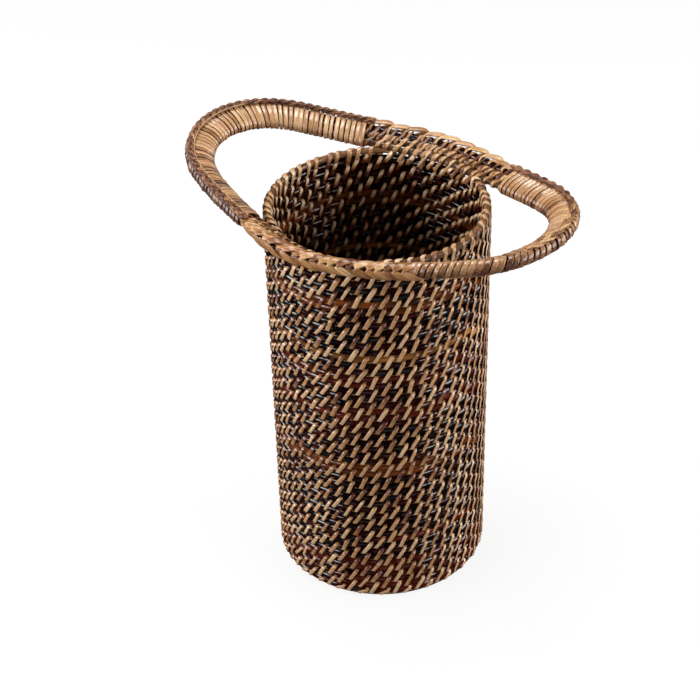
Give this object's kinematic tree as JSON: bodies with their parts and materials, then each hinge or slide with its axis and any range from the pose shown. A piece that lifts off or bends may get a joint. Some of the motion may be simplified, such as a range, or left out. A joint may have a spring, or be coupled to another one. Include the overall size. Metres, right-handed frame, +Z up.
{
  "type": "wine bottle basket",
  "caption": "Tall round coiled-reed basket for one upright bottle, with a flared collar that forms two wrapped ear handles.",
  "frame": {"origin": "middle of the flat underside, on the surface that the basket stands on", "axes": "+Z up along the cylinder, +X to the right ear handle, +Y to the back"},
  "size_m": [0.2115, 0.1324, 0.2324],
  "materials": {
    "black": "glossy dyed rattan reed",
    "mahogany": "glossy red-brown rattan reed",
    "chestnut": "glossy brown rattan reed",
    "golden": "glossy golden rattan reed",
    "cane": "split cane, satin",
    "plait": "plaited split cane"
  },
  "bodies": {
    "root": {"base_button": "black", "base_coil_inner": "black", "base_coil_middle": "black", "base_coil_outer": "black", "foot_coil": "mahogany", "wall_reed_01": "mahogany", "wall_reed_02": "black", "wall_reed_03": "mahogany", "wall_reed_04": "black", "wall_reed_05": "chestnut", "wall_reed_06": "black", "wall_reed_07": "mahogany", "wall_reed_08": "black", "wall_reed_09": "mahogany", "wall_reed_10": "black", "wall_reed_11": "golden", "wall_reed_12": "black", "wall_reed_13": "chestnut", "wall_reed_14": "black", "rim_reed_right": "black", "rim_reed_left": "black", "collar_reed_inner": "black", "collar_reed_middle": "black", "collar_reed_outer": "black", "ear_wrap_right": "cane", "ear_wrap_left": "cane", "plaited_border": "plait"}
  },
  "joints": []
}
